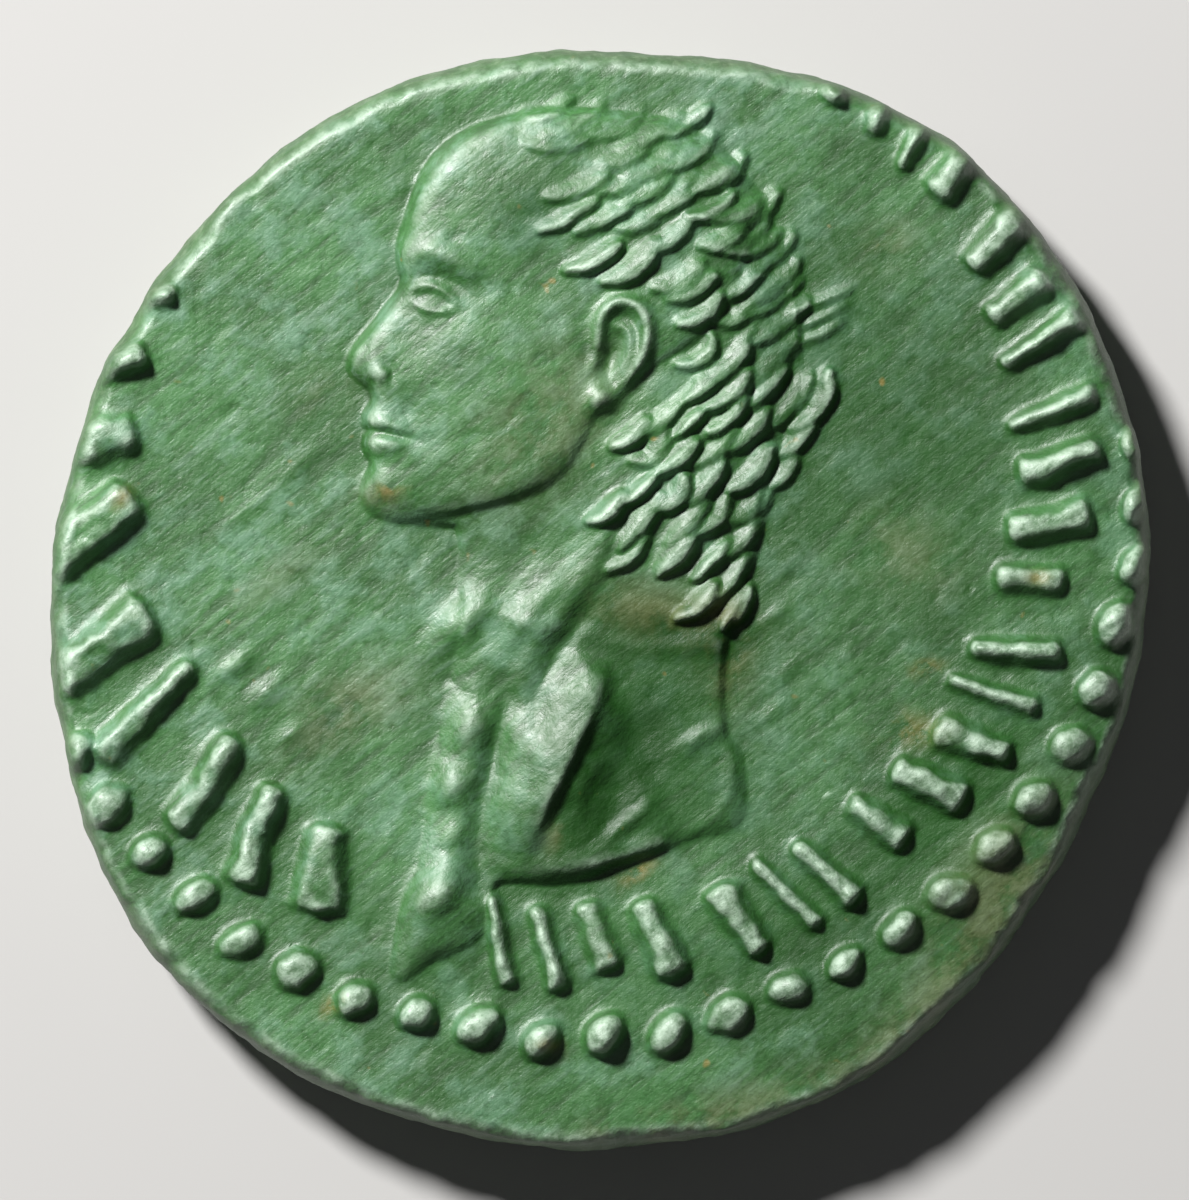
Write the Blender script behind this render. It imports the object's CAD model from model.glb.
from math import cos, degrees, hypot, pi, radians, sin

import bpy
import numpy as np
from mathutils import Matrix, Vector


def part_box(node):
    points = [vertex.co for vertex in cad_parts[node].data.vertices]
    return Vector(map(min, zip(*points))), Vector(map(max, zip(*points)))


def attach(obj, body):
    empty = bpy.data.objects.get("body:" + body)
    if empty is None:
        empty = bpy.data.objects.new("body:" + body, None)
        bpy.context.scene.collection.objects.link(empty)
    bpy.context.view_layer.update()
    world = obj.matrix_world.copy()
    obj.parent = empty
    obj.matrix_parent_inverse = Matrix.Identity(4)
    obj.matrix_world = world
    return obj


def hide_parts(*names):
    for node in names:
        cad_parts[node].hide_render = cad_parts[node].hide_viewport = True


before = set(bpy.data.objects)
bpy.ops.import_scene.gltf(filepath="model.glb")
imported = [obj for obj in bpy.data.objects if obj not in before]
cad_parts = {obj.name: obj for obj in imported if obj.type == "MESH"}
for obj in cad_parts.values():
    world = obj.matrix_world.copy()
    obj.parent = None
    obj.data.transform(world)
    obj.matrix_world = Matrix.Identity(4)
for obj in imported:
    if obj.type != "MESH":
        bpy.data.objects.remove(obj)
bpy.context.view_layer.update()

# --- Driving dimensions ---
MM = 0.001
RADIUS = 12.5  # mean radius of the flan
REVERSE_RELIEF = 0.4  # height of the reverse's field over the surface the coin lies on
FIELD = 2.6  # height of the obverse's field over the same surface

# Each swell adds to the flan's radius: order round the edge, rise, and the angle of its top.
SWELLS = ((2, 0.30, 49), (3, 0.07, 35), (4, 0.13, 35), (6, 0.06, -7))
# The finer unevenness of the edge, in the same form.
RAGGED = (
    (5, 0.030, -4), (7, 0.035, 6), (9, 0.015, 20), (13, 0.012, 70),
    (17, 0.012, 10), (23, 0.010, 33), (31, 0.008, 5), (41, 0.006, 50),
)

DIE = (-0.67, 3.06)  # middle of the obverse die, which struck the flan off centre
BEADS = 57
BEAD_RING = 12.93
BEAD_RADIUS = 0.46
BEAD_RISE = 0.49

HEAD = (-0.22, 5.98)  # middle of the head
HEAD_SIZE = 9.9  # chin to crown
HEAD_TILT = radians(10)
THIRD = 2 / 7  # hairline, brow, nose base and chin are this share of the head apart

# --- Relief rasters ---
# Each raster holds one value for every point of a square grid that covers the flan.
STEP = 0.04
HALF = 13.2
AXIS = np.arange(-HALF, HALF + STEP / 2, STEP)
COUNT = len(AXIS)
X, Y = np.meshgrid(AXIS, AXIS)


def flan_radius(angle, swells=SWELLS + RAGGED):
    return RADIUS + sum(rise * np.cos(order * (angle - radians(at))) for order, rise, at in swells)


def place_round(centre, turn, radius):
    """A place by its angle and distance from a centre."""
    return centre[0] + radius * cos(turn), centre[1] + radius * sin(turn)


def smooth(low, high, value):
    t = np.clip((value - low) / (high - low), 0, 1)
    return t * t * (3 - 2 * t)


def blur(field, sigma):
    """Gaussian blur, first along one axis and then along the other."""
    reach = max(1, round(3 * sigma / STEP))
    kernel = np.exp(-0.5 * (np.arange(-reach, reach + 1) * STEP / sigma) ** 2)
    size = COUNT + 2 * reach
    spectrum = np.fft.rfft(kernel / kernel.sum(), size)
    for _ in range(2):
        wide = np.pad(field, ((0, 0), (reach, reach)), mode="edge")
        turned = np.fft.irfft(np.fft.rfft(wide, size, axis=1) * spectrum, size, axis=1)
        field = turned[:, 2 * reach:].T
    return field


TABLE = 64  # random values along each side of the table that noise repeats


def lattice(x, y, seed):
    """Values of a random table, blended between its points."""
    table = np.random.default_rng(seed).random((TABLE, TABLE))
    i = np.floor(x).astype(int)
    j = np.floor(y).astype(int)
    u = smooth(0, 1, x - i)
    v = smooth(0, 1, y - j)
    left, right = i % TABLE, (i + 1) % TABLE
    near, far = j % TABLE, (j + 1) % TABLE
    low = table[near, left] * (1 - u) + table[near, right] * u
    high = table[far, left] * (1 - u) + table[far, right] * u
    return low * (1 - v) + high * v


NOISE_ORIGIN = 200  # keeps every point on the table's positive side
NOISE_SHIFT = (31.7, 17.3)  # from each octave to the next


def noise(x, y, size, seed, octaves=3):
    """Smooth noise between about -1 and 1, with features of the given size."""
    total = 0
    for octave in range(octaves):
        turn = 0.7 + octave
        scale = 2 ** octave / size
        u = (x * cos(turn) - y * sin(turn)) * scale + NOISE_SHIFT[0] * octave + NOISE_ORIGIN
        v = (x * sin(turn) + y * cos(turn)) * scale + NOISE_SHIFT[1] * octave + NOISE_ORIGIN
        total = total + (lattice(u, v, seed + octave) - 0.5) * 0.5 ** octave
    return total


def sample(field, x, y):
    """Values of a raster at any places, blended between its points."""
    u = np.clip((x + HALF) / STEP, 0, COUNT - 1.001)
    v = np.clip((y + HALF) / STEP, 0, COUNT - 1.001)
    i, j = u.astype(int), v.astype(int)
    u, v = u - i, v - j
    low = field[j, i] * (1 - u) + field[j, i + 1] * u
    high = field[j + 1, i] * (1 - u) + field[j + 1, i + 1] * u
    return low * (1 - v) + high * v


def roughen(field, reach, seed):
    """Shifts a raster sideways by small uneven steps, so that no outline in it stays clean."""
    coarse, fine = 0.9, 0.35
    aside = noise(X, Y, coarse, seed) + 0.5 * noise(X, Y, fine, seed + 1, octaves=2)
    ahead = noise(X, Y, coarse, seed + 3) + 0.5 * noise(X, Y, fine, seed + 4, octaves=2)
    return sample(field, X + reach * aside, Y + reach * ahead)


def curve(points, count, closed=False):
    """A smooth curve through points."""
    p = np.asarray(points, float)
    if closed:
        p = np.vstack([p[-1], p, p[0], p[1]])
    else:
        p = np.vstack([2 * p[0] - p[1], p, 2 * p[-1] - p[-2]])
    spans = len(p) - 3
    t = np.linspace(0, spans, count, endpoint=not closed)
    i = np.minimum(t.astype(int), spans - 1)
    f = (t - i)[:, None]
    a, b, c, d = p[i], p[i + 1], p[i + 2], p[i + 3]
    bend = (2 * a - 5 * b + 4 * c - d) * f ** 2 + (3 * b - a - 3 * c + d) * f ** 3
    return 0.5 * (2 * b + (c - a) * f + bend)


def window(points, margin):
    """The part of a raster that lies within a margin of some points."""
    low = (np.min(points, axis=0) - margin + HALF) / STEP
    high = (np.max(points, axis=0) + margin + HALF) / STEP + 2
    i0, j0 = np.clip(low.astype(int), 0, COUNT - 1)
    i1, j1 = np.clip(high.astype(int), 1, COUNT)
    return slice(j0, j1), slice(i0, i1)


def along(path, win):
    """Distance to a path, the side of it (left is positive), and the share of its length."""
    x, y = X[win], Y[win]
    near = np.full(x.shape, 1e9)
    side = np.zeros(x.shape)
    share = np.zeros(x.shape)
    steps = np.hypot(*np.diff(path, axis=0).T)
    done = 0
    for (ax, ay), (bx, by), step in zip(path[:-1], path[1:], steps):
        dx, dy = bx - ax, by - ay
        t = np.clip(((x - ax) * dx + (y - ay) * dy) / (dx * dx + dy * dy), 0, 1)
        px = x - ax - t * dx
        py = y - ay - t * dy
        distance = np.hypot(px, py)
        closer = distance < near
        near = np.where(closer, distance, near)
        side = np.where(closer, np.sign(dx * py - dy * px), side)
        share = np.where(closer, (done + t * step) / steps.sum(), share)
        done += step
    return near, side, share


def inside(outline):
    """1 inside a closed outline, 0 outside it."""
    win = window(outline, 0.2)
    x, y = X[win], Y[win]
    odd = np.zeros(x.shape, bool)
    for (ax, ay), (bx, by) in zip(outline, np.roll(outline, -1, axis=0)):
        if ay != by:
            odd ^= ((ay > y) != (by > y)) & (x < (bx - ax) * (y - ay) / (by - ay) + ax)
    mask = np.zeros(X.shape)
    mask[win] = odd
    return mask


def ramp(mask, softness):
    """0 at the edge of a mask, rising gently to 1 well inside it."""
    return np.clip(2 * blur(mask, softness) - 1, 0, 1) * (mask > 0.5)


def pillow(mask, softness):
    """0 at the edge of a mask, rounding over steeply to 1 well inside it."""
    return np.sqrt(ramp(mask, softness))


def add_form(relief, points, left, right, height, ends=0.35, within=None):
    """Adds a soft ridge, or a groove if height is negative, along a curve."""
    path = curve(points, 40)
    win = window(path, 2 * max(left, right))
    near, side, share = along(path, win)
    width = np.where(side > 0, left, right)
    fade = ends + (1 - ends) * np.clip(np.sin(pi * share), 0, 1) ** 0.7
    rise = height * fade * np.exp(-(near / width) ** 2)
    relief[win] += rise if within is None else rise * within[win]


def add_bump(relief, x, y, length, width, turn, height, within=None):
    """Adds a soft oval rise, or a hollow if height is negative."""
    u = ((X - x) * cos(radians(turn)) + (Y - y) * sin(radians(turn))) / (length / 2)
    v = ((Y - y) * cos(radians(turn)) - (X - x) * sin(radians(turn))) / (width / 2)
    rise = height * np.exp(-(u * u + v * v))
    relief += rise if within is None else rise * within


# --- Head and bust ---
# Head coordinates are in head heights: forward from the middle of the skull, up from the chin.
def on_head(forward, up):
    x = HEAD[0] + HEAD_SIZE * ((up - 0.5) * sin(HEAD_TILT) - forward * cos(HEAD_TILT))
    y = HEAD[1] + HEAD_SIZE * ((up - 0.5) * cos(HEAD_TILT) + forward * sin(HEAD_TILT))
    return x, y


def head_curve(points, count, closed=False):
    return curve([on_head(*p) for p in points], count, closed)


UP = 0.5 + ((X - HEAD[0]) * sin(HEAD_TILT) + (Y - HEAD[1]) * cos(HEAD_TILT)) / HEAD_SIZE
FORWARD = ((Y - HEAD[1]) * sin(HEAD_TILT) - (X - HEAD[0]) * cos(HEAD_TILT)) / HEAD_SIZE

# A generic profile on textbook proportions, then the throat, the nape and the back of the hair.
PROFILE = (
    (0.06, 0.997), (0.20, 0.97), (0.32, 0.92), (0.40, 0.855), (0.438, 0.775), (0.452, 0.69),
    (0.462, 0.625), (0.458, 0.585), (0.437, 0.55), (0.437, 0.52), (0.460, 0.475), (0.487, 0.425),
    (0.515, 0.375), (0.530, 0.34), (0.525, 0.312), (0.500, 0.297), (0.468, THIRD), (0.456, 0.265),
    (0.458, 0.245), (0.474, 0.222), (0.470, 0.203), (0.449, 0.190), (0.463, 0.175), (0.466, 0.155),
    (0.446, 0.135), (0.433, 0.115), (0.440, 0.09), (0.450, 0.06), (0.440, 0.025), (0.405, 0.0),
    (0.35, -0.008), (0.27, 0.0), (0.20, 0.01), (0.10, 0.0), (0.0, -0.02), (-0.2, -0.06),
    (-0.40, -0.07), (-0.43, -0.03), (-0.45, 0.08), (-0.455, 0.2), (-0.475, 0.33), (-0.495, 0.43),
    (-0.48, 0.55), (-0.445, 0.67), (-0.39, 0.78), (-0.32, 0.88), (-0.23, 0.955), (-0.11, 1.0),
)
# The hair's edge: down the hairline, behind the ear, round the nape and over the back.
HAIR = (
    (0.19, 0.985), (0.185, 0.93), (0.155, 0.86), (0.115, 0.78), (0.085, 0.70), (0.05, 0.64),
    (-0.01, 0.605), (-0.115, 0.595), (-0.18, 0.52), (-0.175, 0.42), (-0.125, 0.335),
    (-0.10, 0.25), (-0.11, 0.14), (-0.12, 0.02), (-0.18, -0.05), (-0.30, -0.09), (-0.42, -0.09),
    (-0.46, -0.03), (-0.475, 0.08), (-0.48, 0.2), (-0.50, 0.32), (-0.525, 0.41), (-0.505, 0.54),
    (-0.47, 0.67), (-0.415, 0.79), (-0.345, 0.885), (-0.25, 0.965), (-0.12, 1.01), (0.05, 1.01),
)
# The lower edge of the face runs along the jaw; the rest of this outline lies off it or in the hair.
JAW = (
    (0.20, 1.3), (0.7, 1.0), (0.7, 0.3), (0.6, -0.1), (0.40, -0.03), (0.33, -0.005), (0.26, 0.02),
    (0.19, 0.05), (0.11, 0.085), (0.04, 0.125), (-0.01, 0.18), (-0.035, 0.25), (-0.06, 0.33),
    (-0.13, 0.42), (-0.3, 0.6), (-0.3, 1.0),
)
# The neck and the draped bust, in millimetres: down the front, along the foot and up the back.
BUST = (
    (-2.7, 2.6), (-3.1, 0.8), (-3.05, -0.5), (-3.35, -1.9), (-3.75, -3.7), (-4.1, -5.9),
    (-4.72, -8.74), (-3.55, -8.15), (-2.45, -7.6), (-2.25, -6.55), (-0.85, -6.45), (0.5, -6.1),
    (1.85, -5.65), (3.25, -5.2), (3.33, -4.3), (3.28, -3.45), (2.86, -3.1), (2.80, -2.2),
    (2.95, -1.0), (3.3, 0.2), (3.6, 1.9), (2.6, 4.0),
)


def face_bump(relief, at, length, width, turn, height, within=None):
    x, y = on_head(*at)
    angle = 180 - turn - degrees(HEAD_TILT)
    add_bump(relief, x, y, length * HEAD_SIZE, width * HEAD_SIZE, angle, height, within)


def face_form(relief, points, width, height, within=None, ends=0.2):
    add_form(relief, [on_head(*p) for p in points], width, width, height, ends, within)


def masses(skull, hair, face, shoulders):
    """The neck and bust lie lowest, the skull over them, the face and the hair highest."""
    union = np.maximum(skull, shoulders)
    # the outline is worn soft at the back of the head, over the crown and down the bust's front
    soft = smooth(-0.15, -0.40, FORWARD) * smooth(-0.10, 0.10, UP)
    soft = np.maximum(soft, smooth(0.15, 0.0, FORWARD) * smooth(0.72, 0.88, UP))
    soft = np.maximum(soft, smooth(-1.2, -2.9, X) * smooth(2.8, 1.0, Y) * smooth(-7.0, -6.0, Y))
    steep = 0.26 * pillow(union, 0.22) + 0.24 * pillow(union, 1.0)
    gentle = 0.50 * ramp(union, 0.95)
    relief = steep + (gentle - steep) * soft
    relief *= 1 - 0.30 * smooth(0.22, -0.12, UP)
    relief += 0.13 * pillow(face, 0.20) + 0.09 * pillow(face, 0.9)
    relief += (0.05 * blur(hair, 0.16) + 0.08 * ramp(hair, 0.5)) * skull
    return relief


def model_face(relief, face):
    within = blur(face, 0.08)
    for at, length, width, turn, height in (
        ((0.30, 0.76), 0.30, 0.28, 80, 0.04),  # forehead
        ((0.12, 0.62), 0.22, 0.20, 0, -0.05),  # temple
        ((0.215, 0.395), 0.26, 0.20, 35, 0.12),  # cheekbone
        ((0.15, 0.22), 0.36, 0.26, 60, 0.05),  # cheek, down to the jaw
        ((0.375, 0.515), 0.17, 0.11, 0, -0.18),  # eye socket
        ((0.40, 0.43), 0.12, 0.10, 70, -0.08),  # side of the nose
        ((0.385, 0.25), 0.13, 0.10, 60, -0.05),  # over the mouth
        ((0.415, 0.118), 0.12, 0.05, 0, -0.06),  # under the lower lip
        ((0.395, 0.055), 0.12, 0.11, 0, 0.10),  # chin
        ((0.325, 0.185), 0.06, 0.06, 0, -0.06),  # corner of the mouth
        ((0.368, 0.507), 0.085, 0.075, 0, 0.13),  # eyeball
        ((0.392, 0.508), 0.022, 0.03, 0, -0.05),  # pupil
    ):
        face_bump(relief, at, length, width, turn, height, within)
    for points, width, height in (
        (((0.452, 0.600), (0.40, 0.612), (0.33, 0.605), (0.26, 0.575)), 0.25, 0.14),  # brow
        (((0.485, 0.43), (0.505, 0.38), (0.50, 0.335)), 0.28, 0.08),  # ridge of the nose
        (((0.466, 0.335), (0.448, 0.318), (0.440, 0.300)), 0.21, 0.10),  # wing of the nose
        (((0.452, 0.352), (0.423, 0.335), (0.416, 0.300)), 0.10, -0.09),  # crease behind it
        (((0.478, 0.300), (0.455, 0.297)), 0.08, -0.09),  # nostril
        (((0.405, 0.300), (0.372, 0.250), (0.345, 0.200)), 0.20, -0.05),  # crease of the cheek
        (((0.470, 0.218), (0.42, 0.213), (0.365, 0.200)), 0.13, 0.10),  # upper lip
        (((0.462, 0.163), (0.42, 0.160), (0.37, 0.172)), 0.15, 0.10),  # lower lip
        (((0.455, 0.190), (0.40, 0.189), (0.335, 0.183)), 0.08, -0.14),  # line of the mouth
        (((0.420, 0.513), (0.385, 0.534), (0.340, 0.530), (0.295, 0.503)), 0.08, 0.12),  # upper lid
        (((0.412, 0.497), (0.375, 0.481), (0.335, 0.482), (0.300, 0.500)), 0.07, 0.09),  # lower lid
        (((0.415, 0.548), (0.37, 0.560), (0.31, 0.550), (0.27, 0.525)), 0.08, -0.06),  # lid crease
        (((0.33, 0.02), (0.22, 0.055), (0.11, 0.105), (0.03, 0.175), (-0.01, 0.26)), 0.38, 0.08),
    ):
        face_form(relief, points, width, height, within)


def model_ear(relief):
    face_bump(relief, (-0.075, 0.46), 0.14, 0.24, 0, -0.12)
    rim = (
        (-0.028, 0.475), (-0.025, 0.53), (-0.055, 0.573), (-0.105, 0.568), (-0.133, 0.52),
        (-0.128, 0.45), (-0.100, 0.385), (-0.075, 0.345),
    )
    fold = ((-0.062, 0.52), (-0.092, 0.51), (-0.100, 0.46), (-0.078, 0.41))
    face_form(relief, rim, 0.17, 0.30, ends=0.5)
    face_form(relief, fold, 0.13, 0.18, ends=0.5)
    face_bump(relief, (-0.052, 0.350), 0.05, 0.065, 0, 0.26)  # lobe
    face_bump(relief, (-0.028, 0.435), 0.03, 0.05, 0, 0.14)  # tragus
    face_bump(relief, (-0.060, 0.445), 0.045, 0.07, 0, -0.14)  # hollow


COMB = 37  # degrees from +X up to the line that the locks lie along
LOCK_LENGTH = 1.16
LOCK_WIDTH = 0.58
LOCK_PITCH = 1.14  # from lock to lock along a row
LOCK_ROW = 0.58  # from row to row
LOCK_RISE = 0.33
CROWN_PITCH = 0.90  # from lock to lock along the hair's own edge
ROWS = 14  # rows to each side of the head's middle, more than the hair holds
ROW_STEPS = 10  # locks to each side along a row
EAR = on_head(-0.08, 0.46)
EAR_ROOM = (0.75, 1.35)  # half breadth and half height of the place kept free round it
# A line just inside the hair's edge, from over the forehead to the back of the head.
CROWN = (
    (0.15, 0.955), (0.05, 0.975), (-0.05, 0.97), (-0.14, 0.945), (-0.22, 0.895), (-0.295, 0.825),
    (-0.355, 0.75), (-0.40, 0.665), (-0.43, 0.585),
)


def lean_at(x, y, chance):
    """Direction of a lock, in degrees: steeper at the nape and flatter over the forehead."""
    return COMB - 2.2 * (y - HEAD[1]) + 1.5 * (x - 1) + 15 * (chance - 0.5)


def clear_of_ear(x, y, ahead):
    """Whether a lock in this place would leave the ear free."""
    tip = x - 0.4 * LOCK_LENGTH * ahead[0]
    return hypot((tip - EAR[0]) / EAR_ROOM[0], (y - 0.4 - EAR[1]) / EAR_ROOM[1]) > 1


def lock_places(hair):
    """Staggered rows of locks: middle, direction and chance values of each."""
    random = np.random.default_rng(11)
    room = blur(hair, 0.12)
    ahead = np.array([cos(radians(COMB)), sin(radians(COMB))])
    aside = np.array([-ahead[1], ahead[0]])
    places = []
    for row in range(-ROWS, ROWS + 1):
        for step in range(-ROW_STEPS, ROW_STEPS + 1):
            jitter = random.standard_normal(2)
            run = (step + 0.5 * (row % 2)) * LOCK_PITCH + 0.16 * jitter[0]
            across = row * LOCK_ROW + 0.10 * jitter[1]
            dice = random.random(6)
            x, y = HEAD + run * ahead + across * aside
            i = round((x + HALF) / STEP)
            j = round((y + HALF) / STEP)
            on_raster = 0 < i < COUNT and 0 < j < COUNT
            if on_raster and room[j, i] > 0.45 and clear_of_ear(x, y, ahead):
                places.append((x, y, radians(lean_at(x, y, dice[0])), dice))
    return places + edge_places(random)


def edge_places(random):
    """Locks along the hair's own edge, over the crown and down the back."""
    path = curve([on_head(*p) for p in CROWN], 60)
    run = np.concatenate([[0], np.cumsum(np.hypot(*np.diff(path, axis=0).T))])
    places = []
    for stop in np.arange(CROWN_PITCH / 3, run[-1], CROWN_PITCH):
        x = np.interp(stop, run, path[:, 0])
        y = np.interp(stop, run, path[:, 1])
        dice = random.random(6)
        places.append((x, y, radians(lean_at(x, y, dice[0])), dice))
    return places


def raise_lock(tufts, x, y, turn, dice, height):
    """One lock: blunt at its upper end, finer at its lower one, and highest along its right side."""
    half = LOCK_LENGTH * (0.38 + 0.20 * dice[1])
    bend = 0.02 + 0.20 * dice[2] ** 2
    ahead = np.array([cos(turn), sin(turn)])
    aside = np.array([sin(turn), -cos(turn)])
    middle = np.array([x, y])
    path = curve([
        middle + half * ahead,
        middle + 0.4 * half * ahead + bend * aside,
        middle - 0.4 * half * ahead + bend * aside,
        middle - 1.08 * half * ahead - 0.2 * bend * aside,
    ], 14)
    win = window(path, LOCK_WIDTH)
    near, side, share = along(path, win)
    swell = np.clip(np.sin(pi * (0.08 + 0.85 * share)), 0, 1) ** 0.30 * (1.05 - 0.25 * share)
    across = near * side / (LOCK_WIDTH * (0.38 + 0.20 * dice[3]) * swell)
    gentle = np.clip(1 - np.abs(across) ** 1.7, 0, 1)
    body = np.where(across > 0, np.clip(1 - np.abs(across) ** 3, 0, 1) ** 0.6, gentle)
    rise = height * (0.76 + 0.24 * np.clip(across, -1, 1)) * body * (0.45 + 0.55 * swell)
    for groove, depth in ((-0.30, 0.13), (0.28, 0.10)):
        rise -= depth * height * body * np.exp(-((across - groove) / 0.15) ** 2)
    tufts[win] = np.where(body > 0, np.maximum(tufts[win] - 0.05, rise), tufts[win])


def model_hair(relief, hair):
    """Short locks over a floor that shows as deep gaps between them."""
    tufts = np.zeros(X.shape)
    for x, y, turn, dice in lock_places(hair):
        # worn flatter over the forehead and in patches, and fuller at the nape
        front = smooth(7.4, 10.2, y) * smooth(3.0, 0.4, x)
        patch = smooth(0.02, 0.30, noise(x, y, 2.4, 61, octaves=1))
        height = LOCK_RISE * (0.75 + 0.45 * dice[5]) * (1 - 0.5 * front) * (1 - 0.35 * patch)
        raise_lock(tufts, x, y, turn, dice, height * (1 + 0.2 * smooth(4.0, 1.0, y)))
    # a fuller curl stands out at the back
    raise_lock(tufts, 4.78, 4.42, radians(57), (0, 0.9, 0.9, 0.8), 1.15 * LOCK_RISE)
    return relief + roughen(tufts, 0.09, 101) - 0.13 * ramp(hair, 0.35)


def loose_strands(relief):
    """A few thin ends that stand out behind the head."""
    for k in range(3):
        x, y = 4.35 + 0.06 * k, 6.55 - 0.34 * k
        points = ((x, y - 0.20), (x + 0.6, y + 0.02), (x + 1.35 - 0.15 * k, y + 0.36))
        add_form(relief, points, 0.12, 0.10, 0.15, 0.3)
    # the tie's end, down behind the locks
    add_form(relief, ((4.25, 7.7), (4.45, 6.7), (4.50, 5.8), (4.60, 4.9)), 0.13, 0.12, 0.07, 0.4)


def model_drapery(relief, shoulders):
    """Folds, pleats and worn bumps of the cloak: points, left and right width, height, ends."""
    edge = blur(shoulders, 0.06)
    # the side panel falls away towards the main fold and stands up again at its own edge
    panel = smooth(-0.5, 0.3, (X - 0.05) + 0.42 * (Y + 1.5)) * smooth(-0.2, -1.6, Y)
    relief -= panel * shoulders * (0.22 - 0.14 * smooth(0.2, 2.6, X))
    for points, left, right, height, ends in (
        # main fold with a cliff on its right, the broad swell under it, and the hollow beyond
        (((0.15, -1.35), (0.0, -2.1), (-0.62, -3.5), (-1.15, -4.6), (-1.75, -6.0)),
         0.22, 0.95, 0.40, 0),
        (((0.25, -1.2), (0.0, -2.3), (-0.55, -3.6), (-1.0, -4.7), (-1.4, -5.8)), 1.25, 0.8, 0.26, 0.1),
        (((0.95, -2.6), (0.55, -3.6), (0.15, -4.6), (-0.2, -5.6)), 0.50, 0.45, -0.16, 0),
        # folds down the front edge
        (((-2.95, -0.6), (-2.9, -2.4), (-3.2, -4.3), (-3.65, -6.4), (-4.1, -7.9)),
         0.44, 0.55, 0.11, 0.6),
        (((-2.0, -1.9), (-2.25, -3.2), (-2.6, -4.8), (-2.75, -6.6)), 0.28, 0.28, -0.20, 0.5),
        # collar round the neck
        (((3.1, -0.85), (1.9, -1.15), (0.6, -1.2), (-0.6, -0.75), (-1.9, -0.55), (-2.9, 0.1)),
         0.30, 0.24, 0.10, 0.5),
        # pleats gathered under the throat
        (((0.1, 0.9), (-0.7, -0.2), (-1.5, -1.2), (-2.1, -2.2)), 0.26, 0.34, 0.15, 0.3),
        (((-0.9, 0.3), (-1.6, -0.5), (-2.3, -1.6)), 0.22, 0.28, 0.11, 0.3),
        (((-0.1, -0.3), (-0.9, -1.3), (-1.5, -2.4)), 0.16, 0.20, -0.12, 0.3),
        # neck muscle from behind the ear to the collar, and the hollow of the throat
        (((0.7, 2.3), (0.1, 1.2), (-0.75, 0.2), (-1.5, -0.5)), 0.50, 0.45, 0.13, 0.4),
        (((-1.3, 1.5), (-1.9, 0.6), (-2.3, -0.1)), 0.40, 0.45, -0.07, 0.5),
        # faint folds on the side panel, and its turned edge
        (((0.1, -5.6), (0.7, -5.0), (1.3, -4.5)), 0.16, 0.22, 0.10, 0.3),
        (((1.7, -3.5), (2.3, -3.1), (2.8, -2.9)), 0.14, 0.22, 0.12, 0.3),
        (((2.2, -5.3), (2.8, -4.9), (3.0, -4.4), (3.0, -3.2)), 0.20, 0.28, 0.08, 0.4),
        (((2.9, -2.9), (2.8, -1.9), (2.7, -1.0)), 0.22, 0.30, 0.10, 0.4),
        # lip along the lower edge, over the step down to the field
        (((-2.2, -6.05), (-1.2, -6.1), (0.1, -6.0), (1.3, -5.55)), 0.30, 0.20, 0.16, 0.4),
    ):
        add_form(relief, points, left, right, height, ends, edge)
    # worn cloth: small uneven rises at the throat and down the front
    cloth = ramp(shoulders, 0.4) * smooth(1.2, 0.2, Y) * smooth(0.4, -0.6, X + 0.4 * (Y + 1.5))
    relief += 0.11 * noise(X, Y, 0.60, 141, octaves=2) * cloth
    # the knobs that gather the cloak above and below, and worn bumps between them
    for x, y, length, width, height in (
        (-3.10, -0.62, 1.50, 0.85, 0.34), (-2.85, -3.05, 1.05, 0.80, 0.18),
        (-3.3, -4.3, 1.0, 0.80, 0.18), (-3.25, -5.35, 0.6, 0.5, 0.08),
        (-3.60, -6.60, 1.45, 0.90, 0.36), (-3.45, -7.6, 2.0, 1.5, 0.14),
    ):
        add_bump(relief, x, y, length, width, 50, height)


def portrait():
    """Height of the head and bust over the field."""
    skull = inside(head_curve(PROFILE, 420, closed=True))
    hair = inside(head_curve(HAIR, 200, closed=True))
    face = inside(head_curve(JAW, 200, closed=True)) * skull
    shoulders = roughen(inside(curve(BUST, 260, closed=True)), 0.13, 111)
    relief = masses(skull, hair, face, shoulders)
    model_face(relief, face * (1 - hair))
    model_drapery(relief, shoulders)
    relief = model_hair(relief, hair)
    model_ear(relief)
    loose_strands(relief)
    return relief


# --- Legend and border ---
# Rows of plain strokes in the legend's place. They all lean one way and none touches another.
# Each stroke has its width at its foot and at its top, and the shares of the band's breadth that
# it runs between.
STROKES = (
    (0.46, 0.66, 0.00, 1.00), (0.86, 0.98, 0.08, 0.96), (0.64, 0.46, 0.00, 0.84),
    (0.50, 0.72, 0.06, 1.00), (0.96, 0.74, 0.14, 1.00), (0.48, 0.56, 0.00, 0.94),
    (0.72, 0.92, 0.04, 0.80), (0.60, 0.46, 0.02, 1.00),
)
STROKE_GAP = 0.37
WORDS = (4, 3, 5)  # strokes between one wider gap and the next
WORD_GAP = 0.50
# Each arc of the legend: first and last angle, the band's foot and breadth, the scale of its
# strokes along the row, how far their tops lean along it, and their height.
ARCS = (
    (-100, 65, 9.86, 2.06, 1.00, 0.62, 0.45),
    (158, 214, 9.60, 2.95, 1.50, 1.25, 0.44),
    (219, 238, 9.75, 2.35, 1.50, 0.90, 0.46),
)


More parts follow.
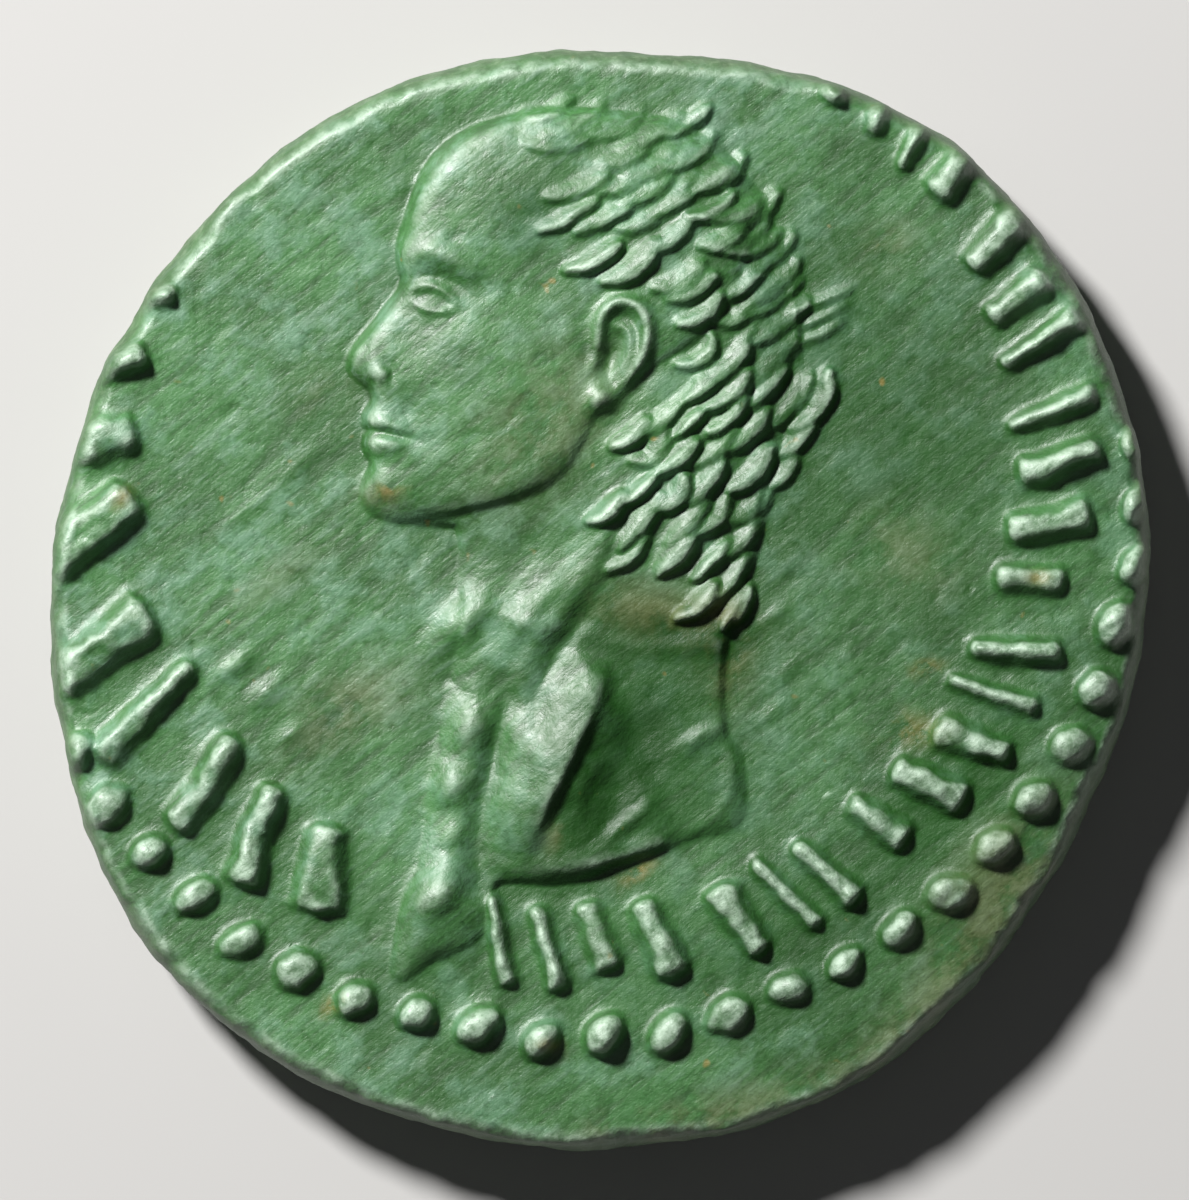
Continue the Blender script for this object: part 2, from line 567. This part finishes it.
def raise_stroke(relief, start, end, width0, width1, height):
    """A flat-topped stroke with bevelled sides that widens from one end to the other."""
    win = window(np.array([start, end]), 1.0)
    length = hypot(end[0] - start[0], end[1] - start[1])
    ahead = (end[0] - start[0]) / length, (end[1] - start[1]) / length
    dx, dy = X[win] - start[0], Y[win] - start[1]
    run = dx * ahead[0] + dy * ahead[1]
    off = np.abs(dy * ahead[0] - dx * ahead[1])
    half = (width0 + (width1 - width0) * np.clip(run / length, 0, 1)) / 2
    beyond = np.maximum(np.maximum(-run, run - length) + 0.16, 0)
    depth = half - np.hypot(off, beyond * half / 0.20)
    relief[win] = np.maximum(relief[win], height * smooth(-0.04, 0.18 + 0.32 * half, depth))


def model_legend(relief):
    """Strokes along each arc, in groups, with their feet towards the middle of the die."""
    random = np.random.default_rng(17)
    for first, last, foot, breadth, scale, lean, height in ARCS:
        middle = foot + breadth / 2
        run = radians(first) * middle
        count = in_word = word = 0
        while run < radians(last) * middle:
            foot_width, top_width, low, high = STROKES[(3 * count + count // 5) % len(STROKES)]
            room = scale * max(foot_width, top_width)
            run += room / 2
            shift = lean * (1 + 0.15 * random.standard_normal())
            start_turn = (run + shift * (low - 0.5)) / middle
            end_turn = (run + shift * (high - 0.5)) / middle
            start = place_round(DIE, start_turn, foot + breadth * low)
            end = place_round(DIE, end_turn, foot + breadth * high)
            stand = height * (0.92 + 0.12 * sin(2.4 * count))
            raise_stroke(relief, start, end, scale * foot_width, scale * top_width, stand)
            run += room / 2 + scale * STROKE_GAP
            count += 1
            in_word += 1
            if in_word == WORDS[word % len(WORDS)]:
                run += WORD_GAP
                in_word = 0
                word += 1


def model_border(relief, centre, ring, count, size, height, seed):
    """A ring of beads, each a little out of place and out of round."""
    random = np.random.default_rng(seed)
    for bead in range(count):
        turn = radians(bead * 360 / count + 2)
        radius = ring + 0.05 * random.standard_normal()
        place = np.array([place_round(centre, turn, radius)])
        dice = random.random(4)
        win = window(place, 1.0)
        lean = radians(20 + 40 * dice[0])
        dx = X[win] - place[0, 0]
        dy = Y[win] - place[0, 1]
        u = (dx * cos(lean) + dy * sin(lean)) / (1.10 + 0.20 * dice[1])
        v = (dy * cos(lean) - dx * sin(lean)) * (1.06 + 0.14 * dice[3])
        body = np.clip(1 - np.hypot(u, v) ** 2.6 / (size * (0.90 + 0.18 * dice[2])) ** 2.6, 0, 1)
        stand = height * (0.85 + 0.25 * dice[0])
        relief[win] = np.maximum(relief[win], stand * body ** 0.55)


# --- Reverse ---
WREATH_RING = 7.5
LEAF_STATIONS = 7
STAR_REACH = 3.6
HUB = (1.38, 1.08)  # radius of its foot and of its flat top
REVERSE_BEADS = 30
REVERSE_BEAD_RING = 11.35


def outline_middle():
    """The middle of the box round the flan's smooth outline, where the reverse die struck."""
    turn = np.linspace(0, 2 * pi, 721)
    reach = flan_radius(turn, SWELLS)
    x, y = reach * np.cos(turn), reach * np.sin(turn)
    return (x.min() + x.max()) / 2, (y.min() + y.max()) / 2


MIDDLE = outline_middle()


def raise_leaf(relief, root, angle, length, width, height, rib=0.06, bow=0.08):
    """A pointed leaf with a sunk rib, or a ray of the star, out of its root."""
    ahead = np.array([cos(radians(angle)), sin(radians(angle))])
    aside = np.array([-ahead[1], ahead[0]])
    root = np.array(root)
    middle = root + length * (0.5 * ahead + bow * aside)
    path = curve([root, middle, root + length * ahead], 16)
    win = window(path, width)
    near, _, share = along(path, win)
    half = width / 2 * np.clip(np.sin(pi * (0.06 + 0.90 * share)), 0, 1) ** 0.8 + 1e-6
    body = np.clip(1 - (near / half) ** 2, 0, 1)
    rise = height * body ** 0.7 - rib * body * np.exp(-(near / 0.07) ** 2)
    relief[win] = np.maximum(relief[win], rise)


def reverse_relief():
    """Two laurel twigs tied at the foot, round a star, inside a border of beads."""
    relief = np.zeros(X.shape)
    for side in (-1, 1):
        turns = [radians(-90 + side * (6 + i * 18)) for i in range(9)]
        stem = [place_round(MIDDLE, turn, WREATH_RING) for turn in turns]
        path = curve(stem, 80)
        win = window(path, 0.5)
        near, _, _ = along(path, win)
        body = np.clip(1 - (near / 0.17) ** 2, 0, 1)
        relief[win] = np.maximum(relief[win], 0.22 * body ** 0.5)
        for station in range(LEAF_STATIONS):
            angle = -90 + side * (12 + station * 22.5)
            root = place_round(MIDDLE, radians(angle), WREATH_RING)
            raise_leaf(relief, root, angle + side * 60, 2.6, 0.95, 0.42)
            raise_leaf(relief, root, angle + side * 124, 2.35, 0.95, 0.42)
    for ray in range(8):
        raise_leaf(relief, MIDDLE, ray * 45, STAR_REACH, 0.74, 0.42, rib=0, bow=0)
    knot = place_round(MIDDLE, radians(-90), WREATH_RING)
    body = np.clip(1 - ((X - knot[0]) / 0.75) ** 2 - ((Y - knot[1]) / 0.6) ** 2, 0, 1)
    relief = np.maximum(relief, 0.38 * body ** 0.6)
    hub = np.hypot(X - MIDDLE[0], Y - MIDDLE[1])
    relief = np.maximum(relief, 0.5 * smooth(*HUB, hub))
    model_border(relief, MIDDLE, REVERSE_BEAD_RING, REVERSE_BEADS, 0.52, 0.29, seed=8)
    return relief


# --- The two faces of the flan ---
REACH = flan_radius(np.arctan2(Y, X))
SHARE = np.hypot(X, Y) / REACH  # 0 in the middle of the flan and 1 at its edge


# Small worn lumps left on the field: x, y, length, width, turn, height.
LUMPS = (
    (-8.15, -1.55, 0.85, 0.40, 35, 0.10), (-7.45, -2.15, 0.95, 0.45, 40, 0.09),
    (-8.60, -3.55, 0.80, 0.55, 40, 0.14), (-6.9, -3.1, 0.7, 0.35, 30, 0.06),
    (-7.9, 1.9, 1.4, 0.4, 38, 0.04), (-6.7, 3.0, 1.6, 0.45, 38, 0.045),
    (4.0, -0.4, 1.1, 0.4, 35, 0.05), (4.3, -1.6, 0.9, 0.35, 40, 0.05),
    (3.9, -2.6, 0.8, 0.3, 35, 0.04),
)


def obverse_surface():
    """Height of the obverse, with its wear, pits and the fall towards the edge."""
    struck = np.zeros(X.shape)
    model_legend(struck)
    model_border(struck, DIE, BEAD_RING, BEADS, BEAD_RADIUS, BEAD_RISE, seed=5)
    struck = roughen(blur(struck, 0.04), 0.11, 121)
    struck *= 1 + 0.34 * noise(X, Y, 0.9, 41) + 0.22 * noise(X, Y, 0.28, 45, 2)
    struck = 0.93 * struck + 0.22 * blur(struck, 0.30)  # the metal also rose a little round each mark
    relief = np.maximum(portrait(), struck)
    relief = blur(relief, 0.045)
    relief = 0.93 * relief * (1 - 0.10 * smooth(0.0, 0.5, noise(X, Y, 2.6, 31)))
    for lump in LUMPS:
        add_bump(relief, *lump)
    surface = FIELD + relief
    surface += 0.035 * noise(X, Y, 4.0, 3) + 0.020 * noise(X, Y, 1.0, 4)
    surface -= 0.022 * smooth(0.22, 0.62, noise(X, Y, 0.45, 9, octaves=2))
    # the lower right of the edge was left sloping
    slope = smooth(75, 20, np.abs(np.degrees(np.arctan2(Y, X)) + 42))
    surface -= 0.16 * slope * smooth(0.86, 0.98, SHARE)
    worn_back = 0.012 * noise(X, Y, 1.4, 71) + 0.010 * noise(X, Y, 0.5, 75)
    return surface - 0.6 * np.clip((SHARE + worn_back - 0.962) / 0.038, 0, 1.2) ** 2


def reverse_surface():
    """Height of the reverse, which faces down, with its wear, a low lip and a rounded edge."""
    worn = 1 - 0.25 * smooth(-0.1, 0.5, noise(X, Y, 2.2, 57)) + 0.20 * noise(X, Y, 0.8, 59)
    hub = smooth(1.5, 1.3, np.hypot(X - MIDDLE[0], Y - MIDDLE[1]))
    struck = reverse_relief()
    relief = roughen(blur(struck, 0.05), 0.12, 131) * worn * (1 - hub) + blur(struck, 0.06) * hub
    surface = REVERSE_RELIEF - relief
    surface += (0.030 * noise(X, Y, 3.5, 13) + 0.020 * noise(X, Y, 0.9, 14)) * (1 - hub)
    surface += 0.02 * smooth(0.22, 0.62, noise(X, Y, 0.45, 19, octaves=2)) * (1 - hub)
    surface -= 0.22 * np.exp(-((SHARE - 0.955) / 0.028) ** 2)
    worn_back = 0.010 * noise(X, Y, 1.4, 77)
    surface += 0.6 * np.clip((SHARE + worn_back - 0.960) / 0.040, 0, 1.2) ** 2
    return np.maximum(surface, 0)


# --- Mesh ---
GRID = 520  # points along each side of the square grid that is bent into each round face
FACE_SHARE = 0.985  # the faces end here, and the edge rounds over between them
EDGE_ROWS = 14
EDGE_REACH = 1.004  # how far out the edge's curve is drawn, as a share of the flan
EDGE_PULL = 0.45  # how far below and above the faces it is drawn to
TRIANGLES = 196_000


def round_grid():
    """A square grid bent into a disc: angle and share of the radius for each of its points."""
    line = np.linspace(-1, 1, GRID)
    a, b = np.meshgrid(line, line)
    wide = np.abs(a) > np.abs(b)
    radius = np.where(wide, a, b)
    with np.errstate(divide="ignore", invalid="ignore"):
        turn = np.where(wide, pi / 4 * b / a, pi / 2 - pi / 4 * a / b)
    turn = np.nan_to_num(turn)
    turn = np.where(radius < 0, turn + pi, turn)
    return turn, np.abs(radius)


def grid_border():
    """Indices of the grid's outermost points, counter-clockwise."""
    index = np.arange(GRID * GRID).reshape(GRID, GRID)
    return np.concatenate([index[0, :-1], index[:-1, -1], index[-1, :0:-1], index[:0:-1, 0]])


def grid_quads(offset, flip):
    index = np.arange(GRID * GRID).reshape(GRID, GRID) + offset
    corners = [index[:-1, :-1], index[:-1, 1:], index[1:, 1:], index[1:, :-1]]
    quads = np.stack([c.ravel() for c in corners], axis=1)
    return quads[:, ::-1] if flip else quads


def coin_points(top, bottom):
    """Points and quads of the whole coin: both faces, and the rows of its edge between them."""
    turn, share = round_grid()
    reach = flan_radius(turn) * share * FACE_SHARE
    x, y = (reach * np.cos(turn)).ravel(), (reach * np.sin(turn)).ravel()
    upper = np.stack([x, y, sample(top, x, y)], axis=1)
    lower = np.stack([x, y, sample(bottom, x, y)], axis=1)
    border = grid_border()
    rim_turn = turn.ravel()[border]
    high, low = upper[border, 2], lower[border, 2]
    rows = []
    for row in range(1, EDGE_ROWS):
        t = row / EDGE_ROWS
        ends = (1 - t) ** 3 + t ** 3
        near_top, near_foot = 3 * t * (1 - t) ** 2, 3 * t * t * (1 - t)
        rim_share = ends * FACE_SHARE + (1 - ends) * EDGE_REACH
        z = (1 - t) ** 3 * high + near_top * (high - EDGE_PULL)
        z = z + near_foot * (low + EDGE_PULL) + t ** 3 * low
        arc = rim_turn * RADIUS
        rough = 0.07 * noise(arc, z * 1.5, 1.5, 21) + 0.055 * noise(arc, z, 0.5, 25) - 0.02
        reach = flan_radius(rim_turn) * rim_share + rough * sin(pi * t)
        rows.append(np.stack([reach * np.cos(rim_turn), reach * np.sin(rim_turn), z], axis=1))
    faces = GRID * GRID
    rings = [border, *(2 * faces + len(border) * r + np.arange(len(border)) for r in range(len(rows)))]
    rings.append(border + faces)
    quads = [grid_quads(0, False), grid_quads(faces, True)]
    for above, below in zip(rings[:-1], rings[1:]):
        quads.append(np.stack([above, below, np.roll(below, -1), np.roll(above, -1)], axis=1))
    return np.vstack([upper, lower, *rows]), np.vstack(quads)


def make_mesh(points, quads):
    mesh = bpy.data.meshes.new("coin_relief")
    mesh.vertices.add(len(points))
    mesh.vertices.foreach_set("co", points.ravel())
    mesh.loops.add(quads.size)
    mesh.loops.foreach_set("vertex_index", quads.ravel().astype(np.int32))
    mesh.polygons.add(len(quads))
    mesh.polygons.foreach_set("loop_start", np.arange(0, quads.size, 4, dtype=np.int32))
    mesh.update(calc_edges=True)
    return mesh


def add_object(name, data):
    thing = bpy.data.objects.new(name, data)
    bpy.context.scene.collection.objects.link(thing)
    return thing


def thin_out(piece, triangles):
    """Removes points where the surface is plain, down to a number of triangles."""
    thin = piece.modifiers.new("thin", "DECIMATE")
    thin.ratio = triangles / (2 * len(piece.data.polygons))
    shown = bpy.context.evaluated_depsgraph_get()
    piece.data = bpy.data.meshes.new_from_object(piece.evaluated_get(shown))
    piece.modifiers.clear()


def read_array(items, name, width, kind=float):
    """The values that a mesh holds under a name, a row for each item."""
    values = np.zeros(len(items) * width, kind)
    items.foreach_get(name, values)
    return values.reshape(-1, width) if width > 1 else values


def unfold(mesh):
    """Relaxes the few points round facets of the two faces that the thinning turned over."""
    passes, least_rise, face_reach = 8, 0.03, 0.94 * RADIUS
    count = len(mesh.vertices)
    edges = read_array(mesh.edges, "vertices", 2, np.int32)
    ends = np.concatenate([edges, edges[:, ::-1]])
    degree = np.bincount(ends[:, 0], minlength=count)
    corner = read_array(mesh.loops, "vertex_index", 1, np.int32)
    corners = read_array(mesh.polygons, "loop_total", 1, np.int32)
    facet = np.repeat(np.arange(len(mesh.polygons)), corners)
    for _ in range(passes):
        points = read_array(mesh.vertices, "co", 3)
        normals = read_array(mesh.polygons, "normal", 3)
        centres = read_array(mesh.polygons, "center", 3)
        side = np.sign(centres[:, 2] - (FIELD + REVERSE_RELIEF) / 2)
        turned = side * normals[:, 2] < least_rise
        turned &= np.hypot(centres[:, 0], centres[:, 1]) < face_reach
        moved = np.unique(corner[turned[facet]])
        for axis in range(3):
            total = np.bincount(ends[:, 0], points[ends[:, 1], axis], count)
            points[moved, axis] = (total / degree)[moved]
        mesh.vertices.foreach_set("co", points.ravel())
        mesh.update()


def set_attribute(mesh, name, values):
    layer = mesh.attributes.new(name, "FLOAT", "POINT")
    layer.data.foreach_set("value", values.astype(np.float32))


SHALLOW_MARK = 0.12


def depth_under(surface, sigma):
    """How deep each point lies under the mean height round it, as a share of a shallow mark."""
    return (blur(surface, sigma) - surface) / SHALLOW_MARK


# Places, in the flan's own millimetres, where the patina has worn brown, where it is darker, and
# where ochre shows through: x, y, length, width, turn, strength.
BROWN_PLACES = (
    (-1.2, 3.9, 4.2, 2.6, 50, 0.8), (1.3, -0.3, 3.6, 1.3, -10, 0.9), (9.2, -6.4, 4.6, 2.2, 50, 0.9),
    (6.5, 7.9, 1.6, 1.1, 30, 0.6), (6.9, 1.0, 1.8, 2.6, 70, 0.6), (-4.9, 2.2, 1.2, 0.7, 0, 0.8),
    (-6.2, 4.6, 1.6, 1.2, 20, 0.6), (-5.6, -2.2, 2.6, 1.4, 20, 0.6), (0.9, -12.0, 2.2, 0.7, 0, 0.9),
    (-5.9, -3.0, 3.4, 1.2, 30, 0.5), (2.9, -1.2, 1.0, 2.2, 0, 1.2), (8.0, -8.9, 7.5, 1.5, 42, 1),
    (3.0, -11.6, 6.0, 1.2, 15, 0.9), (-7.2, 0.4, 3.0, 0.8, 38, 0.5), (-0.9, -5.4, 0.9, 0.6, 60, 0.9),
)
DARK_PLACES = (
    (6.6, 3.6, 6.5, 13.0, 12, 0.70), (1.6, -3.4, 5.0, 5.5, 0, 0.65), (8.3, -4.6, 5.0, 3.5, 45, 0.6),
    (-1.4, 8.7, 1.7, 1.4, 60, 0.8), (4.2, -8.0, 9.0, 3.0, 20, 0.6), (0.2, -4.3, 4.6, 2.0, 62, 1.1),
    (2.9, -0.9, 1.6, 1.6, 0, 0.9), (1.1, -0.5, 3.6, 1.4, -8, 0.9),
)
OCHRE_PLACES = (
    (-10.7, 2.2, 0.55, 0.30, 50, 1), (-4.7, 2.4, 0.5, 0.35, 10, 1), (7.0, -3.0, 1.3, 0.7, 0, 0.6),
    (0.9, -6.2, 0.8, 0.3, 30, 1), (7.4, -1.6, 0.7, 0.3, 10, 0.7), (-1.1, -10.1, 0.5, 0.3, 0, 1),
    (-6.0, -9.2, 0.6, 0.3, 40, 1), (9.9, 0.4, 0.5, 0.3, 0, 1),
)


UNDERSIDE_SHARE = 0.7  # the underside has the same places, turned round and this strong


def places_mask(places):
    mask = np.zeros(X.shape)
    for place in places:
        add_bump(mask, *place)
    return np.clip(mask, 0, 1.2)


def in_frame(x, y):
    """Places on the flan in the metres of the shared frame."""
    low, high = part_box("coin")
    middle = (low + high) / 2
    return (x - MIDDLE[0]) * MM + middle.x, (y - MIDDLE[1]) * MM + middle.y


def make_coin():
    """The coin's mesh in the shared frame, with what the patina reads at each of its points."""
    top = obverse_surface()
    bottom = reverse_surface()
    points, quads = coin_points(top, bottom)
    coin = add_object("coin_relief", make_mesh(points, quads))
    thin_out(coin, TRIANGLES)
    mesh = coin.data
    unfold(mesh)
    place = read_array(mesh.vertices, "co", 3)
    x, y, z = place.T
    share = np.hypot(x, y) / flan_radius(np.arctan2(y, x))
    upper = z > (FIELD + REVERSE_RELIEF) / 2
    on_face = smooth(1.0, FACE_SHARE - 0.01, share)
    for name, sigma in (("hollow", 0.22), ("sheltered", 0.55)):
        above = sample(depth_under(top, sigma), x, y)
        below = -sample(depth_under(bottom, sigma), x, y)
        set_attribute(mesh, name, np.where(upper, above, below) * on_face)
    for name, places in (("brown", BROWN_PLACES), ("dark", DARK_PLACES), ("ochre", OCHRE_PLACES)):
        mask = places_mask(places)
        below = UNDERSIDE_SHARE * sample(mask, -x, -y)
        set_attribute(mesh, name, np.where(upper, sample(mask, x, y), below))
    margin = smooth(12.9, 13.9, np.hypot(x - DIE[0], y - DIE[1]))
    lit_side = smooth(-0.8, 1.0, (0.65 * y - 0.76 * x) / RADIUS)
    set_attribute(mesh, "pale", np.maximum(0.16 + 0.64 * lit_side, 0.5 * margin))
    set_attribute(mesh, "rim", smooth(0.965, 1.0, share))
    place[:, 0], place[:, 1] = in_frame(x, y)
    place[:, 2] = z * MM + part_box("coin")[0].z
    mesh.vertices.foreach_set("co", place.ravel())
    mesh.polygons.foreach_set("use_smooth", np.ones(len(mesh.polygons), bool))
    mesh.update()
    mesh.materials.append(patina())
    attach(coin, "root")
    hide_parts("coin")


# --- Patina ---
def srgb(red, green, blue):
    """A colour as it is seen on the screen, in the linear values that nodes take."""
    def linear(value):
        value /= 255
        return value / 12.92 if value <= 0.04045 else ((value + 0.055) / 1.055) ** 2.4
    return (linear(red), linear(green), linear(blue), 1)


class Nodes:
    """Short calls for building a node tree."""

    def __init__(self, tree):
        self.tree = tree

    def add(self, kind, values=(), **settings):
        node = self.tree.nodes.new(kind)
        for name, value in settings.items():
            setattr(node, name, value)
        for socket, value in dict(values).items():
            self.feed(value, node.inputs[socket])
        return node

    def feed(self, value, socket):
        if isinstance(value, bpy.types.NodeSocket):
            self.tree.links.new(value, socket)
        else:
            socket.default_value = value

    def attribute(self, name):
        return self.add("ShaderNodeAttribute", attribute_name=name).outputs["Fac"]

    def noise(self, where, scale, detail=4, rough=0.55):
        values = {"Vector": where, "Scale": scale, "Detail": detail, "Roughness": rough}
        return self.add("ShaderNodeTexNoise", values).outputs["Fac"]

    def span(self, value, low, high, to_low=0.0, to_high=1.0):
        values = {"Value": value, "From Min": low, "From Max": high}
        values.update({"To Min": to_low, "To Max": to_high})
        return self.add("ShaderNodeMapRange", values, interpolation_type="SMOOTHSTEP").outputs[0]

    def math(self, kind, a, b):
        return self.add("ShaderNodeMath", {0: a, 1: b}, operation=kind, use_clamp=True).outputs[0]

    def times(self, a, b):
        return self.math("MULTIPLY", a, b)

    def mix(self, amount, a, b):
        node = self.add("ShaderNodeMix", data_type="RGBA")
        self.feed(amount, node.inputs["Factor"])
        self.feed(a, node.inputs["A"])
        self.feed(b, node.inputs["B"])
        return next(o for o in node.outputs if o.type == "RGBA")


def new_material(name):
    material = bpy.data.materials.new(name)
    material.use_nodes = True
    return material, material.node_tree.nodes["Principled BSDF"]


def patina():
    """Green over a dark ground, with flecks, streaks, brown and ochre places and rubbed heights."""
    material, shader = new_material("patina")
    n = Nodes(material.node_tree)
    where = n.add("ShaderNodeTexCoord").outputs["Object"]
    hollow, pale, dark, rim = (n.attribute(name) for name in ("hollow", "pale", "dark", "rim"))

    cloud = n.noise(where, 330, 6, 0.62)
    mottle = n.noise(where, 900, 6, 0.65)
    grain = n.noise(where, 3800, 5, 0.7)
    streak = n.noise(n.add("ShaderNodeMapping", {
        "Vector": where, "Rotation": (0, 0, radians(38)), "Scale": (6, 1, 1),
    }, vector_type="TEXTURE").outputs[0], 3600, 5, 0.6)

    light = n.math("ADD", n.span(cloud, 0.38, 0.66, 0, 0.6), n.times(pale, 0.34))
    green = n.mix(light, srgb(32, 82, 22), srgb(66, 122, 62))
    strength = n.math("ADD", n.times(pale, 0.5), 0.30)
    flecks = n.times(n.span(mottle, 0.46, 0.66), strength)
    green = n.mix(flecks, green, srgb(100, 142, 112))
    sheen = n.times(n.span(streak, 0.52, 0.68), n.times(pale, 0.42))
    green = n.mix(sheen, green, srgb(132, 160, 142))
    shade = n.times(n.span(streak, 0.52, 0.34), n.span(mottle, 0.62, 0.40, 0.30, 0.65))
    green = n.mix(shade, green, srgb(34, 70, 28))
    green = n.mix(n.times(n.span(grain, 0.50, 0.30), 0.40), green, srgb(32, 68, 24))
    green = n.mix(n.times(dark, 0.75), green, srgb(16, 60, 5))
    sheltered = n.span(n.attribute("sheltered"), 0.35, 1.6)
    green = n.mix(n.times(sheltered, 0.50), green, srgb(22, 76, 8))
    deep = n.span(hollow, 0.8, 2.4)
    green = n.mix(deep, green, srgb(5, 26, 1))
    worn = n.times(n.span(hollow, -0.2, -1.15), n.span(grain, 0.35, 0.62, 0.35, 1.0))
    worn = n.times(worn, n.math("SUBTRACT", 0.78, rim))
    green = n.mix(worn, green, srgb(172, 194, 172))
    earth = n.mix(n.span(mottle, 0.38, 0.62), srgb(72, 74, 34), srgb(104, 104, 62))
    bare = n.math("MAXIMUM", n.attribute("brown"), n.times(rim, 0.55))
    stain = n.times(bare, n.span(mottle, 0.34, 0.58))
    colour = n.mix(n.times(stain, 0.55), green, earth)
    speck = n.span(n.noise(where, 1500, 2), 0.72, 0.80)
    speck = n.math("ADD", speck, n.times(n.attribute("ochre"), n.span(mottle, 0.40, 0.52)))
    colour = n.mix(n.times(speck, 0.5), colour, srgb(150, 118, 50))
    colour = n.mix(n.times(rim, n.span(mottle, 0.60, 0.40, 0.4, 0.8)), colour, srgb(40, 78, 34))
    crust = n.times(rim, n.span(grain, 0.48, 0.66))
    colour = n.mix(n.times(crust, 0.30), colour, srgb(140, 160, 128))
    n.feed(colour, shader.inputs["Base Color"])

    dull = n.span(grain, 0.3, 0.7, 0.44, 0.60)
    dull = n.math("ADD", dull, n.times(deep, 0.3))
    n.feed(dull, shader.inputs["Roughness"])
    shader.inputs["Metallic"].default_value = 0.0
    n.feed(n.span(dark, 0, 1, 1.0, 0.5), shader.inputs["Specular IOR Level"])
    shader.inputs["IOR"].default_value = 1.5

    bump = {}
    for strength, distance, height in (
        (0.4, 0.00004, grain), (0.6, 0.00005, streak), (0.5, 0.00012, mottle),
    ):
        bump = {**bump, "Strength": strength, "Distance": distance, "Height": height}
        bump["Normal"] = n.add("ShaderNodeBump", bump).outputs[0]
    n.feed(bump["Normal"], shader.inputs["Normal"])
    return material


# --- Stage ---
VIEW_MIDDLE = (-0.08, -0.09)  # what the camera looks down on, from the middle of the flan
VIEW_HEIGHT = 26.98  # what the picture's height spans at the obverse field
CAMERA_RISE = 300.0  # over the obverse field
SENSOR = 36
FLOOR_REACH = 1.5  # in metres, as is the gap under the coin
FLOOR_GAP = 0.00001


def make_floor():
    mesh = bpy.data.meshes.new("floor")
    sides = ((-1, -1), (1, -1), (1, 1), (-1, 1))
    mesh.from_pydata([(x * FLOOR_REACH, y * FLOOR_REACH, 0) for x, y in sides], [], [range(4)])
    floor = add_object("floor", mesh)
    floor.location.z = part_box("coin")[0].z - FLOOR_GAP
    material, shader = new_material("floor")
    shader.inputs["Base Color"].default_value = (0.50, 0.49, 0.475, 1)
    shader.inputs["Roughness"].default_value = 0.9
    mesh.materials.append(material)


def make_light(name, azimuth, elevation, distance, size, power):
    light = bpy.data.lights.new(name, "AREA")
    light.shape = "DISK"
    light.size = size
    light.energy = power
    lamp = add_object(name, light)
    turn, rise = radians(azimuth), radians(elevation)
    flat = distance * cos(rise)
    lamp.location = (flat * cos(turn), flat * sin(turn), distance * sin(rise))
    lamp.rotation_mode = "QUATERNION"
    lamp.rotation_quaternion = (-lamp.location).to_track_quat("-Z", "Y")


def make_world(strength):
    world = bpy.data.worlds.new("studio")
    world.use_nodes = True
    back = world.node_tree.nodes["Background"]
    back.inputs["Color"].default_value = (0.92, 0.96, 1.0, 1)
    back.inputs["Strength"].default_value = strength
    bpy.context.scene.world = world


def make_camera():
    data = bpy.data.cameras.new("camera")
    data.sensor_width = SENSOR
    data.lens = SENSOR * CAMERA_RISE / VIEW_HEIGHT
    data.clip_start = 0.01
    camera = add_object("camera", data)
    camera.location = (*in_frame(*VIEW_MIDDLE), (FIELD + CAMERA_RISE) * MM)
    bpy.context.scene.camera = camera


make_coin()
make_floor()
make_light("key", azimuth=131, elevation=41, distance=0.32, size=0.055, power=2.15)
make_light("fill", azimuth=-60, elevation=60, distance=0.5, size=0.4, power=0.05)
make_world(0.036)
make_camera()
bpy.context.scene.view_settings.view_transform = "Standard"
